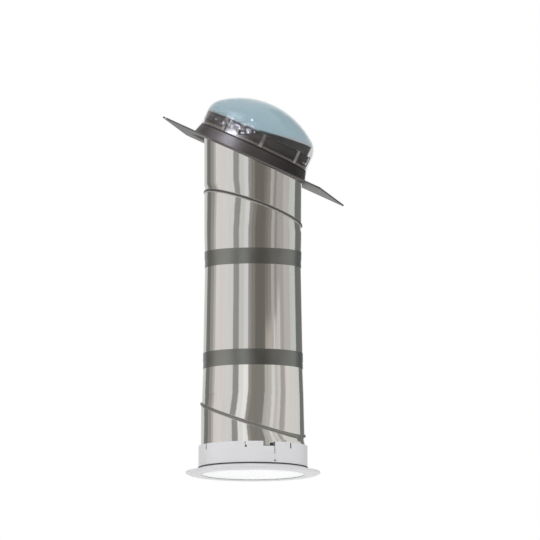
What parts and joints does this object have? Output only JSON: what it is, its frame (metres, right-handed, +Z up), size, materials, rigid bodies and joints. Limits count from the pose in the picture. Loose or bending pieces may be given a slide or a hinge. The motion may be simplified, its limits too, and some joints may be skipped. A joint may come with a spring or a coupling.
{
  "type": "tubular skylight",
  "caption": "Tubular skylight with a clear roof dome on a sloped flashing, a reflective tube with swivelling bends, and a ceiling ring holding a round diffuser.",
  "frame": {"origin": "on the tube's axis, level with the underside of the ceiling, which is the upper face of the ceiling ring's flange", "axes": "+Z up the tube, +X down the roof's slope, +Y along the roof's horizontal"},
  "size_m": [0.4092, 0.45, 0.9739],
  "materials": {
    "acrylic": "clear, faintly blue, with a fine prismatic pattern",
    "flashing_metal": "dark bronze grey, satin",
    "mirror_sheet": "bright, near mirror",
    "foil_tape": "satin grey foil",
    "galvanised": "satin",
    "steel": "satin",
    "nylon": "satin",
    "rubber": "matte",
    "foam": "matte closed-cell foam",
    "white_plastic": "satin white",
    "lens": "opal white"
  },
  "bodies": {
    "roof_side": {"flashing": "flashing_metal", "dome": "acrylic", "dome_screws": "steel", "dome_washers": "rubber", "dome_spacers": "nylon", "hanger_ring": "galvanised", "hanger_gasket": "rubber", "hanger_screws": "steel", "upper_bend_upper_half": "mirror_sheet"},
    "shaft": {"upper_bend_lower_half": "mirror_sheet", "upper_tape": "foil_tape", "extension_tube": "mirror_sheet", "lower_tape": "foil_tape", "lower_bend_upper_half": "mirror_sheet"},
    "ceiling_side": {"lower_bend_lower_half": "mirror_sheet", "ceiling_ring": "white_plastic", "ring_seal": "foam", "trim_ring": "white_plastic", "lens_gasket": "rubber", "diffuser_lens": "lens", "lens_retainer": "steel"}
  },
  "joints": [
    {"name": "upper_swivel", "type": "hinge", "parent": "roof_side", "child": "shaft", "pos_m": [0, 0, 0.678], "axis": [0.3214, 0.117, 0.9397], "continuous": true},
    {"name": "lower_swivel", "type": "hinge", "parent": "shaft", "child": "ceiling_side", "pos_m": [0, 0, 0.134], "axis": [0.3193, -0.1226, 0.9397], "continuous": true}
  ]
}
